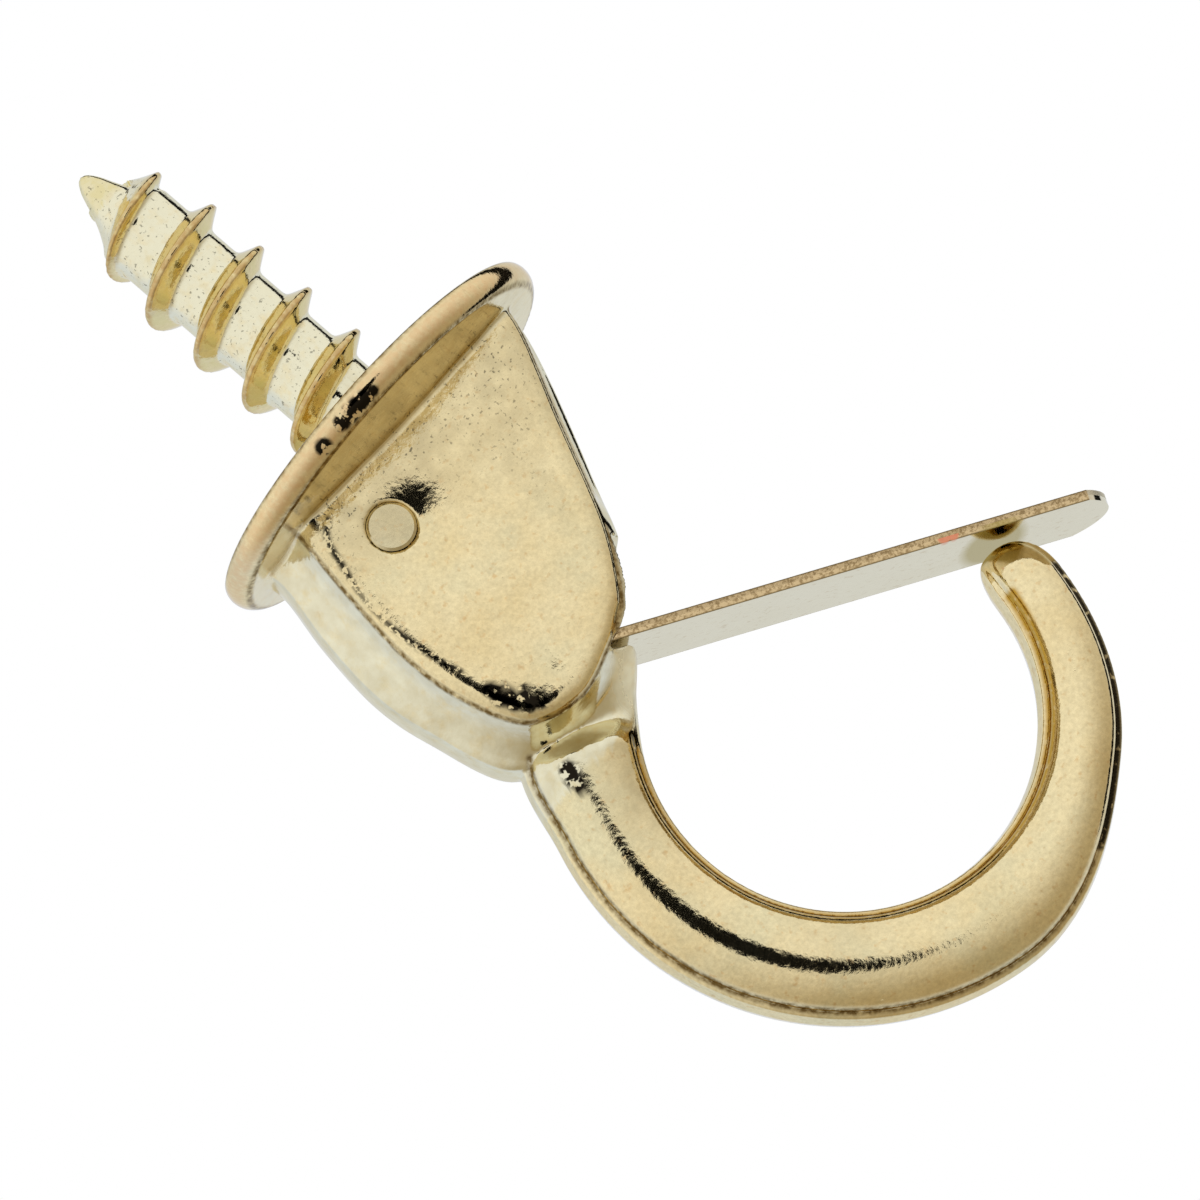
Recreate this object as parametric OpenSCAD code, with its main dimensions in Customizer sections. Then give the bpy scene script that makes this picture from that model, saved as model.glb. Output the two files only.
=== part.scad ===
// Safety cup hook: a cast brass hook with a wood screw, a round flange and a
// shield-shaped head, closed by a sprung gate strip that turns on a rivet.
//
// The origin is the middle of the flange's seat, on the screw's axis. +Z runs up
// the screw, +X points to the mouth of the hook, and the rivet lies along Y.

/* [Screw] */
// Length from the flange's seat to the point
screw_len = 14.7; // [13:0.1:20]
// Outside diameter of the thread
thread_d = 5; // [4.8:0.1:5.8]
// Diameter of the core between the ridges
core_d = 3.4; // [3:0.1:3.8]
// Distance from one ridge to the next
pitch = 2.42; // [2.2:0.02:2.8]

/* [Flange] */
// Diameter of the flange
flange_d = 16.4; // [16.2:0.1:19]
// Thickness of its rim
rim_t = 1.15; // [1:0.05:1.6]

/* [Head] */
// Width of the head across its flanks
head_w = 14; // [13.6:0.1:14.4]
// Drop from the seat to the foot of the head's face
head_h = 12.9; // [12.4:0.1:13.4]
// Thickness of the head from face to face
head_t = 6.2; // [6:0.1:7]

/* [Hook] */
// Inside diameter of the hook
ring_d = 14.6; // [14.2:0.1:15.4]
// Width of the bar round the bottom
bar_w = 4.15; // [3.8:0.05:4.6]
// Thickness of the bar from crest to crest
bar_t = 4; // [3.6:0.1:4.6]
// Width of the bar where its end begins to round
tip_w = 2.75; // [2.6:0.05:3.4]

/* [Gate] */
// Width of the gate strip
gate_w = 4.8; // [3.6:0.1:4.8]
// Thickness of the gate strip
gate_t = 0.4; // [0.3:0.02:0.44]
// How far the strip runs on past the tip of the hook
thumb_len = 4.25; // [3:0.1:5.5]
// Angle that the gate opens through
gate_swing = 25; // [15:1:27]

/* [Rivet] */
// Diameter of the rivet's shank
rivet_d = 1.5; // [1.3:0.05:1.6]
// Diameter of its two heads
rivet_head_d = 1.85; // [1.75:0.05:1.9]

/* [Hidden] */
$fn = 64;

// Fits
side_play = 0.1;        // strip to each side of its pocket
pocket_play = 0.15;     // strip to the pocket's other walls
pin_play = 0.05;        // rolled eye on the rivet, all round
tip_gap = 0.18;         // strip over the tip of the hook
stop_margin = 0.8;      // degrees between the open gate and the pocket's wall

// Screw
core_r = core_d / 2;
ridge_base = pitch * 0.58;
ridge_crest = pitch * 0.08;
ridge_steps = 30;       // sections in one turn
point_len = 2.8;
shank_top = screw_len - point_len;
ridge_phase = 0.49;     // height of the ridge where it crosses +X first

// Flange
flange_r = flange_d / 2;
// The rim, from the seat's edge round to the underside: how far in from the
// widest place, and the drop as a share of the rim's thickness. Its crisp lower
// edge is the 10th point
rim_profile = [[0.32, 0], [0.15, 0.03], [0.055, 0.12], [0.01, 0.26], [0, 0.40],
               [0.02, 0.50], [0.06, 0.62], [0.13, 0.73], [0.25, 0.85], [0.40, 0.94],
               [0.62, 0.95], [2.4, 1.02], [5.2, 1.12]];
relief_r = thread_d / 2 + 0.4;  // shallow relief round the root of the screw, which
relief_depth = 0.25;            // takes up the wood that the thread raises

// Head: outlines as fractions of half the width and of the height
half_w = head_w / 2;
half_t = head_t / 2;
// Edge of the raised face, from the flange down the left, round and up the right
face_shape = [[-0.757, 0.05], [-0.786, 0.147], [-0.843, 0.341], [-0.886, 0.558],
              [-0.857, 0.756], [-0.721, 0.942], [-0.429, 1.004], [-0.136, 0.965],
              [0.014, 0.926], [0.136, 0.876], [0.357, 0.709], [0.614, 0.419],
              [0.836, 0.174], [0.90, 0.05]];
// Foot of the flanks, at the parting line
flank_shape = [[-1, 0.05], [-0.986, 0.151], [-1.057, 0.333], [-1.10, 0.55],
               [-1.057, 0.736], [-0.921, 0.984], [-0.557, 1.045], [-0.186, 1.085],
               [0.06, 0.977], [0.194, 0.904], [0.436, 0.70], [0.707, 0.411],
               [0.886, 0.186], [0.95, 0.05]];
curve_steps = 4;        // points for each stretch of an outline
// Depth from the parting line as a share of half the thickness, and how far the
// flank has come in from its foot to the edge of the face there
flank_profile = [[0, 0], [0.3, 0.05], [0.37, 0.30], [0.48, 0.58], [0.65, 0.82],
                 [0.80, 0.96], [0.85, 1]];
// The raised face's rounded border: depth as above, and its inset from the edge
border_profile = [[0.86, 0.06], [0.93, 0.17], [0.98, 0.33], [1, 0.55]];

// Hook
ring_r = ring_d / 2;
ring_at = [ring_r * 0.449, -head_h - ring_r + 0.13];
land_t = 0.8;           // half height of the flat sides, each way from the parting line
land_draft = 0.1;
ledge = 0.34;           // sides of the bar to where its crown rises
neck_from = 117;        // angle round the ring where the bar starts, inside the head
dome_len = 1.9;
dome_steps = 6;
bar_step = 4;           // degrees from one section of the bar to the next
crown_steps = 8;

// Rivet and gate
rivet_at = [-half_w * 0.42, -head_h * 0.281];
rivet_r = rivet_d / 2;
eye_in = rivet_r + pin_play;
eye_out = eye_in + gate_t;
eye_turn = 300;         // degrees that the strip wraps round the rivet
eye_steps = 30;
recess_r = rivet_head_d / 2 + 0.13;
recess_depth = 0.28;
arm_tilt = -31;       // slope of the gate's outer arm
arm_dir = [cos(arm_tilt), sin(arm_tilt)];
arm_up = [-sin(arm_tilt), cos(arm_tilt)];
bend_r = 0.8;           // radius of the strip's bend, to its middle
bend_steps = 6;
thumb_round = gate_w * 0.67;    // radius of the arc at the strip's free end

// Straight and angular helpers in the plane of the hook (x, z)
function polar(r, a) = [r * cos(a), r * sin(a)];
function ease(a, b, t) = let (s = min(1, max(0, (t - a) / (b - a)))) s * s * (3 - 2 * s);
function unit(v) = v / norm(v);

// A Catmull-Rom curve through the points p, from the first to the last
function spline_point(a, b, c, d, t) =
    0.5 * (2 * b + (c - a) * t + (2 * a - 5 * b + 4 * c - d) * t * t
           + (3 * b - a - 3 * c + d) * t * t * t);
function smooth_run(p, steps) = let (
        n = len(p),
        q = concat([2 * p[0] - p[1]], p, [2 * p[n - 1] - p[n - 2]]))
    concat([for (i = [0 : n - 2]) for (k = [0 : steps - 1])
                spline_point(q[i], q[i + 1], q[i + 2], q[i + 3], k / steps)],
           [p[n - 1]]);

// A run of points moved in by d along its own normals
function inset_run(p, d) = let (n = len(p)) [
    for (i = [0 : n - 1])
        let (t = unit(p[min(i + 1, n - 1)] - p[max(i - 1, 0)])) p[i] + d * [-t[1], t[0]]
];

// Triangles over rings of points that follow one another, closed by a middle
// point at each end: rings * count is the first middle point, and the next the last
function skin_faces(rings, count) = concat(
    [for (r = [0 : rings - 2]) for (i = [0 : count - 1]) let (j = (i + 1) % count)
        [r * count + i, r * count + j, (r + 1) * count + j]],
    [for (r = [0 : rings - 2]) for (i = [0 : count - 1]) let (j = (i + 1) % count)
        [r * count + i, (r + 1) * count + j, (r + 1) * count + i]],
    [for (i = [0 : count - 1]) [rings * count, (i + 1) % count, i]],
    [for (i = [0 : count - 1]) let (s = (rings - 1) * count)
        [rings * count + 1, s + i, s + (i + 1) % count]]
);

// Screw ---------------------------------------------------------------------

// The core tapers to a blunt point over the last point_len
module screw_core() {
    rotate_extrude()
        polygon([[0, -rim_t / 2], [core_r, -rim_t / 2], [core_r, shank_top],
                 [core_r * 0.82, shank_top + point_len * 0.12],
                 [core_r * 0.60, shank_top + point_len * 0.34],
                 [core_r * 0.46, shank_top + point_len * 0.56],
                 [core_r * 0.33, shank_top + point_len * 0.80],
                 [core_r * 0.18, shank_top + point_len * 0.94],
                 [0, screw_len]]);
}

// How much of the ridge stands at height z: it fades out at both ends
function ridge_share(z) = ease(0.15, 0.75, z)
    * (1 - ease(shank_top + 0.9, shank_top + 1.9, z));
// Radius of its crest: less over the last turn
function crest_at(z) = thread_d / 2 - 0.45 * ease(shank_top - 1.6, shank_top - 0.2, z);
function core_at(z) = core_r * (1 - 0.62 * ease(shank_top - 0.4, shank_top + 2.4, z));

// One section of the ridge: its foot lies inside the core
function ridge_section(a) = let (
        z = ridge_phase + pitch * a / 360,
        share = ridge_share(z),
        foot = core_at(z) - 0.3,
        top = core_at(z) - 0.05 + (crest_at(z) - core_at(z) + 0.05) * share)
    [for (p = [[foot, -ridge_base / 2], [top - 0.16, -ridge_crest], [top, 0],
               [top - 0.16, ridge_crest], [foot, ridge_base / 2]])
        [p[0] * cos(a), p[0] * sin(a), z + p[1]]];

module screw_ridge() {
    first = -60;
    turns = (screw_len - 1.1 - ridge_phase) / pitch;
    count = ceil(turns * ridge_steps);
    sections = [for (i = [0 : count]) ridge_section(first + (turns * 360 - first) * i / count)];
    ends = [for (s = [sections[0], sections[count]]) (s[0] + s[2] + s[4]) / 3];
    polyhedron(points = concat([for (s = sections) each s], ends),
               faces = skin_faces(count + 1, 5));
}

// Flange --------------------------------------------------------------------

module flange() {
    rim = [for (p = rim_profile) [flange_r - p[0], -rim_t * p[1]]];
    rotate_extrude()
        polygon(concat([[0, -relief_depth], [relief_r, -relief_depth], [relief_r, 0]],
                       rim, [[0, rim[len(rim) - 1][1]]]));
}

// Head ----------------------------------------------------------------------

function placed(shape) = [for (p = shape) [p[0] * half_w, -p[1] * head_h]];
// Round the gate's way out, near the 8th and 9th points of the outlines, the
// flank stands almost straight, so that it makes a collar at the strip's sides
function collar(i, n) = let (t = i / n * (len(face_shape) - 1))
    1 + 20 * ease(7.2, 8.1, t) * (1 - ease(9.2, 10.4, t));
function blend_loops(a, b, s) = let (n = len(a) - 1)
    [for (i = [0 : n]) let (k = pow(s, collar(i, n))) a[i] * (1 - k) + b[i] * k];

module head() {
    face_edge = smooth_run(placed(face_shape), curve_steps);
    flank_foot = smooth_run(placed(flank_shape), curve_steps);
    count = len(face_edge);
    half = concat(
        [for (f = flank_profile) [f[0] * half_t, blend_loops(flank_foot, face_edge, f[1])]],
        [for (b = border_profile) [b[0] * half_t, inset_run(face_edge, b[1])]]);
    n = len(half);
    levels = concat([for (i = [n - 1 : -1 : 1]) [-half[i][0], half[i][1]]], half);
    middle = [-0.1 * half_w, -head_h / 2];
    polyhedron(
        points = concat(
            [for (l = levels) for (p = l[1]) [p[0], l[0], p[1]]],
            [[middle[0], -half_t, middle[1]], [middle[0], half_t, middle[1]]]),
        faces = skin_faces(len(levels), count));
}

// Hook ----------------------------------------------------------------------

// Width of the bar at an angle round the ring: it narrows towards the tip, and
// spreads a little into the neck
function width_at(a) =
    bar_w - (bar_w - tip_w) * (0.72 * ease(258, 304, a) + 0.28 * ease(300, 350, a))
    + 0.45 * (1 - ease(142, 158, a));
function half_t_at(a) = bar_t / 2 - 0.35 * ease(255, 340, a);
// The inside of the bar leaves the circle where it runs up into the neck
function inner_at(a) = ring_r + 0.3 * pow(max(0, 136 - a) / 18, 1.5);
// Share of the crown's height: it rises out of the neck along a slanted line
function crown_share(a, across) =
    sin(90 * min(1, max(0, (a - 131.5 - 6.5 * across) / 5)));

// Half of a section, from the inside of the hook to the outside, as [distance
// from the middle of the bar, depth]
function half_span(a) = (ring_r + width_at(a) - inner_at(a)) / 2;
function half_section(a, grow) = let (
        hw = half_span(a),
        crown_w = hw - ledge,
        crown_h = half_t_at(a) - land_t - 0.04)
    concat([[-hw, 0], [-hw + land_draft, land_t]],
           [for (k = [0 : crown_steps]) let (
                t = 180 * k / crown_steps,
                u = -crown_w * cos(t),
                rise = pow(sin(t), 0.85) * crown_share(a, u / hw / 2 + 0.5))
                [u, land_t + 0.04 + crown_h * rise]],
           [[hw - land_draft, land_t], [hw, 0]]) * grow;

function section(a, grow) = let (
        half = half_section(a, grow),
        n = len(half),
        mid = inner_at(a) + half_span(a) * (1 - 0.35 * (1 - grow)),
        loop = concat(half, [for (i = [n - 2 : -1 : 1]) [half[i][0], -half[i][1]]]))
    [for (p = loop) let (c = ring_at + polar(mid + p[0], a)) [c[0], p[1], c[1]]];

dome_turn = dome_len / (ring_r + tip_w / 2) * 180 / PI;
dome_from = 359.4 - dome_turn;
main_steps = ceil((dome_from - neck_from) / bar_step);
dome_rings = [for (i = [1 : dome_steps]) let (t = 84 * i / dome_steps)
    section(dome_from + dome_turn * sin(t), pow(cos(t), 0.8))];
bar_rings = concat(
    [for (i = [0 : main_steps])
        section(neck_from + (dome_from - neck_from) * i / main_steps, 1)],
    dome_rings);

module bar() {
    start = ring_at + polar(inner_at(neck_from) + half_span(neck_from), neck_from);
    end = ring_at + polar(ring_r + tip_w / 2 * 0.65, dome_from + dome_turn);
    polyhedron(points = concat([for (r = bar_rings) each r],
                               [[start[0], 0, start[1]], [end[0], 0, end[1]]]),
               faces = skin_faces(len(bar_rings), len(bar_rings[0])));
}

// Gate ----------------------------------------------------------------------

// The strip's middle line, in the plane of the hook. It leaves the eye's left
// side as the leg, bends, and runs over the tip of the hook as the arm
tip_top = max([for (r = dome_rings) for (p = r) ([p[0], p[2]] - ring_at) * arm_up]);
tip_along = max([for (r = dome_rings) for (p = r)
    let (d = [p[0], p[2]] - ring_at) d * arm_up > tip_top - 1e-6 ? d * arm_dir : -99]);
arm_level = tip_top + tip_gap + gate_t / 2;
bend_at = ring_at + arm_up * arm_level - arm_dir * ring_r * 1.085;
eye_mid = (eye_in + eye_out) / 2;
leg_span = norm(bend_at - rivet_at);
leg_angle = atan2(bend_at[1] - rivet_at[1], bend_at[0] - rivet_at[0])
    + asin(eye_mid / leg_span);
leg_dir = polar(1, leg_angle);
leg_left = polar(1, leg_angle - 90);    // towards the head's left flank
leg_len = sqrt(leg_span * leg_span - eye_mid * eye_mid);
bend_turn = arm_tilt - leg_angle;
bend_cut = bend_r * tan(bend_turn / 2);
thumb_at = ring_at + arm_up * arm_level + arm_dir * (tip_along + thumb_len - thumb_round);
blank_end = thumb_at + arm_dir * (thumb_round + 0.2);
pocket_w = gate_w + 2 * side_play;

// Puts what is drawn in x and y into the plane of the hook, at p
module in_plane(p = [0, 0]) {
    translate([p[0], 0, p[1]]) rotate([90, 0, 0]) children();
}
// The strip seen from the side: eye, leg, bend and arm, a little too long. The eye
// is drawn too tight here, and its true bore is cut out of it
function gate_outline() = let (
        half = gate_t / 2,
        c = bend_at - leg_dir * bend_cut - leg_left * bend_r,
        wrap = [for (k = [0 : eye_steps]) leg_angle - 90 - eye_turn * (1 - k / eye_steps)],
        turns = [for (k = [0 : bend_steps]) leg_angle - 90 + bend_turn * k / bend_steps])
    concat([for (t = wrap) rivet_at + polar(eye_out, t)],
           [for (t = turns) c + polar(bend_r + half, t)],
           [blank_end - arm_up * half, blank_end + arm_up * half],
           [for (k = [bend_steps : -1 : 0]) c + polar(bend_r - half, turns[k])],
           [rivet_at + leg_left * (eye_in + 0.004)],
           [for (k = [eye_steps : -1 : 0]) rivet_at + polar(eye_in - 0.03, wrap[k])]);

module spring_gate() {
    color("#d6cfbb") difference() {
        in_plane() linear_extrude(height = gate_w, center = true) polygon(gate_outline());
        in_plane(rivet_at) cylinder(r = eye_in, h = gate_w + 1, center = true);
        // Free end, trimmed to an arc
        translate([thumb_at[0], 0, thumb_at[1]]) rotate([0, -arm_tilt, 0]) difference() {
            translate([thumb_round / 2, -gate_w, -1]) cube([thumb_round, 2 * gate_w, 2]);
            cylinder(r = thumb_round, h = 3, center = true);
        }
    }
}

// Rivet ---------------------------------------------------------------------

module gate_rivet() {
    head_h = recess_depth;
    color("#cabf9a") in_plane(rivet_at) rotate_extrude()
        polygon([[0, -half_t], [rivet_head_d / 2 - 0.1, -half_t],
                 [rivet_head_d / 2, -half_t + 0.1], [rivet_head_d / 2, -half_t + head_h],
                 [rivet_r, -half_t + head_h], [rivet_r, half_t - head_h],
                 [rivet_head_d / 2, half_t - head_h], [rivet_head_d / 2, half_t - 0.1],
                 [rivet_head_d / 2 - 0.1, half_t], [0, half_t]]);
}

// Casting -------------------------------------------------------------------

// The pocket holds the strip's leg at rest against one side, opens through the
// head's right flank, and its other side stops the gate when it is open
module pocket() {
    out = eye_out + pocket_play;
    under = gate_t / 2 + pocket_play;
    foot = bend_at + under * (leg_left - arm_up) / (1 - leg_left * arm_up);
    open_angle = leg_angle + gate_swing + stop_margin;
    stop_from = rivet_at + polar(eye_in - pocket_play, open_angle - 90);
    in_plane() linear_extrude(height = pocket_w, center = true) {
        translate(rivet_at) circle(r = out);
        polygon([rivet_at + leg_left * out, foot, foot + arm_dir * ring_r * 1.1,
                 stop_from + polar(leg_len + 4, open_angle), stop_from]);
    }
}

module rivet_holes() {
    in_plane(rivet_at) {
        cylinder(r = rivet_r, h = head_t + 1, center = true);
        for (side = [-1, 1])
            translate([0, 0, side * (half_t - recess_depth / 2 + 0.5)])
                cylinder(r = recess_r, h = recess_depth + 1, center = true);
    }
}

module hook_body() {
    color("#dcc794") difference() {
        union() {
            screw_core();
            screw_ridge();
            flange();
            head();
            bar();
        }
        pocket();
        rivet_holes();
    }
}

hook_body();
gate_rivet();
spring_gate();
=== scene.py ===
import math
import random
import bmesh
import bpy
import numpy as np
from mathutils import Matrix, Quaternion, Vector
from mathutils.kdtree import KDTree


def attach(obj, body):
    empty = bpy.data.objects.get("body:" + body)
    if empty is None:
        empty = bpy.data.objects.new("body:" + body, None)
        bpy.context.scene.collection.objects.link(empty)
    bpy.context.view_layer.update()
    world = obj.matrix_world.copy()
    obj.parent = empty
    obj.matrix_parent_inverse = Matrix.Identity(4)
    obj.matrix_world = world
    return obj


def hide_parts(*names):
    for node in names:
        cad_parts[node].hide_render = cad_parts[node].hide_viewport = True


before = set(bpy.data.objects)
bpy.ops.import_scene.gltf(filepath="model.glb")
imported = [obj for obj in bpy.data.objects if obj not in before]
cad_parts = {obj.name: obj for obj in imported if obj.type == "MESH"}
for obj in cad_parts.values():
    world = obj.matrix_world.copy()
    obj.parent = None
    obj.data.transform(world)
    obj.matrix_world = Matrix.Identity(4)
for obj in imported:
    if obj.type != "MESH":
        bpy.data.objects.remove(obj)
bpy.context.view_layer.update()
print("frame loaded:", ", ".join(sorted(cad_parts)))

scene = bpy.context.scene


# direction that an azimuth and elevation in degrees look from, 0 being from -Y
def fromAngles(azimuth, elevation):
    a, e = math.radians(azimuth), math.radians(elevation)
    return Vector((math.sin(a) * math.cos(e), -math.cos(a) * math.cos(e), math.sin(e)))


def newObject(name, data):
    obj = bpy.data.objects.new(name, data)
    scene.collection.objects.link(obj)
    return obj


def newMaterial(name):
    mat = bpy.data.materials.new(name)
    mat.use_nodes = True
    mat.node_tree.nodes.clear()
    return mat


# gives a socket its value, or a link where the value is another node's output
def feed(tree, socket, value):
    if isinstance(value, bpy.types.NodeSocket):
        tree.links.new(value, socket)
    else:
        socket.default_value = value


# a node with its properties and inputs set by name
def addNode(tree, kind, x=0, y=0, **values):
    node = tree.nodes.new(kind)
    node.location = (x, y)
    for key, value in values.items():
        if hasattr(node, key):
            setattr(node, key, value)
        else:
            feed(tree, node.inputs[key.replace("_", " ")], value)
    return node


# mix of two colours, each a socket or three numbers
def mixColours(tree, x, y, first, second, factor, blend="MIX"):
    node = addNode(tree, "ShaderNodeMix", x, y, data_type="RGBA", blend_type=blend)
    feed(tree, node.inputs[0], factor)
    for socket, value in ((node.inputs[6], first), (node.inputs[7], second)):
        feed(tree, socket, value if isinstance(value, bpy.types.NodeSocket) else (*value, 1))
    return node.outputs[2]


def mixShaders(tree, x, y, first, second, factor):
    node = addNode(tree, "ShaderNodeMixShader", x, y, Fac=factor)
    feed(tree, node.inputs[1], first.outputs[0])
    feed(tree, node.inputs[2], second.outputs[0])
    return node


def mapRange(tree, x, y, value, low, high, first=0.0, last=1.0, curve="LINEAR"):
    return addNode(tree, "ShaderNodeMapRange", x, y, interpolation_type=curve, Value=value,
                   From_Min=low, From_Max=high, To_Min=first, To_Max=last).outputs["Result"]


def mathNode(tree, x, y, operation, first, second=0.0):
    node = addNode(tree, "ShaderNodeMath", x, y, operation=operation)
    feed(tree, node.inputs[0], first)
    feed(tree, node.inputs[1], second)
    return node.outputs[0]


def vectorNode(tree, x, y, operation, first, second, result="Vector"):
    node = addNode(tree, "ShaderNodeVectorMath", x, y, operation=operation)
    feed(tree, node.inputs[0], first)
    feed(tree, node.inputs[1], second)
    return node.outputs[result]


shot = {
    "lookAt": (0.000764, 0.0, -0.010612),
    "azimuth": -13.06,
    "elevation": -8.395,
    "roll": -49.2,          # the screw leans to the upper left
    "distance": 0.194,
    "lens": 158.3,
    "sensor": 36,
    "clip": (0.01, 20),
}


def makeCamera(shot):
    back = fromAngles(shot["azimuth"], shot["elevation"])
    data = bpy.data.cameras.new("productCamera")
    data.lens = shot["lens"]
    data.sensor_width = shot["sensor"]
    data.clip_start, data.clip_end = shot["clip"]
    cam = newObject("productCamera", data)
    cam.location = Vector(shot["lookAt"]) + back * shot["distance"]
    cam.rotation_mode = "QUATERNION"
    roll = Quaternion((0, 0, 1), math.radians(shot["roll"]))
    cam.rotation_quaternion = (-back).to_track_quat("-Z", "Y") @ roll
    scene.camera = cam
    print("camera set,", shot["distance"], "m away")


makeCamera(shot)

studio = {
    "above": (1.0, 1.0, 1.0),
    "below": (0.47, 0.40, 0.28),
    "behind": (0.79, 0.87, 1.06),
    "rise": (-0.9, 0.35),       # heights between which below turns to above
    "backward": (0.1, 0.8),     # depths between which behind takes over
    "fill": 0.7,                # what the world gives to matt surfaces
    "floorHeight": -0.052,
    "floorRadius": 0.8,
    "floorColour": (0.86, 0.86, 0.86),
    "floorLift": 0.35,          # keeps the floor white for the camera
    "lampSize": 0.5,
    "lampPower": 4.0,
    "lampAt": (0.25, -0.35, 0.55),
}


# white for the camera; for the metal it darkens downwards and cools to the back
def makeWorld(studio):
    world = bpy.data.worlds.new("studioWorld")
    scene.world = world
    world.use_nodes = True
    tree = world.node_tree
    tree.nodes.clear()
    coord = addNode(tree, "ShaderNodeTexCoord", -900, 0)
    split = addNode(tree, "ShaderNodeSeparateXYZ", -700, 0, Vector=coord.outputs["Generated"])
    rise = mapRange(tree, -500, 0, split.outputs["Z"], *studio["rise"], curve="SMOOTHSTEP")
    level = mixColours(tree, -300, 0, studio["below"], studio["above"], rise)
    back = mapRange(tree, -500, -300, split.outputs["Y"], *studio["backward"], curve="SMOOTHSTEP")
    room = mixColours(tree, -100, -150, level, studio["behind"], back)
    white = addNode(tree, "ShaderNodeBackground", 100, 200, Color=(1, 1, 1, 1))
    mirrored = addNode(tree, "ShaderNodeBackground", 100, 50, Color=room)
    fill = addNode(tree, "ShaderNodeBackground", 100, -100, Color=(1, 1, 1, 1),
                   Strength=studio["fill"])
    path = addNode(tree, "ShaderNodeLightPath", -300, 400)
    shiny = mathNode(tree, -100, 400, "MAXIMUM", path.outputs["Is Glossy Ray"],
                     path.outputs["Is Transmission Ray"])
    lit = mixShaders(tree, 300, 0, fill, mirrored, shiny)
    seen = mixShaders(tree, 500, 100, lit, white, path.outputs["Is Camera Ray"])
    addNode(tree, "ShaderNodeOutputWorld", 700, 100, Surface=seen.outputs[0])


# a flat piece of the stage that faces a way: a disc, or a strip where it has a length
def flatCard(name, place, facing, width, length=None, along=(0, 0, 1)):
    bm = bmesh.new()
    if length is None:
        bmesh.ops.create_circle(bm, cap_ends=True, segments=64, radius=width / 2)
    else:
        bmesh.ops.create_grid(bm, x_segments=1, y_segments=1, size=0.5)
        bmesh.ops.scale(bm, vec=(width, length, 1), verts=bm.verts)
    mesh = bpy.data.meshes.new(name)
    bm.to_mesh(mesh)
    bm.free()
    obj = newObject(name, mesh)
    front = Vector(facing).normalized()
    side = Vector(along).cross(front).normalized()
    turn = Matrix((side, front.cross(side), front)).transposed() if length else None
    obj.location = place
    obj.rotation_mode = "QUATERNION"
    obj.rotation_quaternion = turn.to_quaternion() if turn else front.to_track_quat("Z", "Y")
    return obj


def makeFloor(studio):
    place = (0, 0, studio["floorHeight"])
    floor = flatCard("paleFloor", place, (0, 0, 1), studio["floorRadius"] * 2)
    mat = newMaterial("floorPaper")
    tree = mat.node_tree
    paper = addNode(tree, "ShaderNodeBsdfDiffuse", 0, 0, Color=(*studio["floorColour"], 1))
    path = addNode(tree, "ShaderNodeLightPath", -400, -150)
    amount = mathNode(tree, -200, -150, "MULTIPLY", path.outputs["Is Camera Ray"],
                      studio["floorLift"])
    lift = addNode(tree, "ShaderNodeEmission", 0, -150, Color=(1, 1, 1, 1), Strength=amount)
    both = addNode(tree, "ShaderNodeAddShader", 200, 0)
    tree.links.new(paper.outputs[0], both.inputs[0])
    tree.links.new(lift.outputs[0], both.inputs[1])
    # from underneath, the floor is clear
    clear = addNode(tree, "ShaderNodeBsdfTransparent", 200, 150)
    side = addNode(tree, "ShaderNodeNewGeometry", 200, 350)
    pick = mixShaders(tree, 400, 0, both, clear, side.outputs["Backfacing"])
    addNode(tree, "ShaderNodeOutputMaterial", 600, 0, Surface=pick.outputs[0])
    floor.data.materials.append(mat)
    floor.visible_glossy = False


# dark things in the room that the metal mirrors, by the ways they lie from the hook:
# a round one in front, and a frame behind to the right
cards = {
    "middle": (0.0033, 0.0, -0.02),
    "colour": (0.01, 0.01, 0.01),
    "pieces": {
        "frontDisc": {"ways": [(-2.6, 0.8)], "distance": 0.35, "width": 0.14},
        "sideStrip": {"ways": [(118, -45), (118, 35)], "distance": 0.4, "width": 0.085},
        "topStrip": {"ways": [(119.6, 31.5), (152, 58)], "distance": 0.4, "width": 0.09},
    },
}


def makeCards(cards):
    mat = newMaterial("cardBlack")
    tree = mat.node_tree
    black = addNode(tree, "ShaderNodeBsdfDiffuse", 0, 0, Color=(*cards["colour"], 1))
    addNode(tree, "ShaderNodeOutputMaterial", 200, 0, Surface=black.outputs[0])
    middle = Vector(cards["middle"])
    for name, card in cards["pieces"].items():
        ends = [fromAngles(*way) * card["distance"] for way in card["ways"]]
        place = sum(ends, Vector()) / len(ends)
        span = ends[-1] - ends[0]
        obj = flatCard(name, middle + place, -place, card["width"], span.length or None, span)
        obj.data.materials.append(mat)
        obj.visible_camera = False
        obj.visible_diffuse = False
        obj.visible_shadow = False


def makeLamp(studio):
    data = bpy.data.lights.new("softLamp", "AREA")
    data.shape = "DISK"
    data.size = studio["lampSize"]
    data.energy = studio["lampPower"]
    lamp = newObject("softLamp", data)
    lamp.location = studio["lampAt"]
    lamp.rotation_mode = "QUATERNION"
    lamp.rotation_quaternion = (-Vector(studio["lampAt"])).to_track_quat("-Z", "Y")
    lamp.visible_glossy = False


makeWorld(studio)
makeFloor(studio)
makeCards(cards)
makeLamp(studio)
print("studio built")

# how each tone spreads over a metal: scale, detail and roughness of its noise, the levels
# it fades in between, and its strength
toneSpread = {
    "patches": (380, 5, 0.6, (0.40, 0.66), 1.0),
    "bloom": (230, 4, 0.6, (0.5, 0.68), 0.55),
    "specks": (3600, 2, 0.5, (0.60, 0.76), 0.7),
}
grainLevels = (0.3, 0.7)        # what the fine grain runs between

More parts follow.
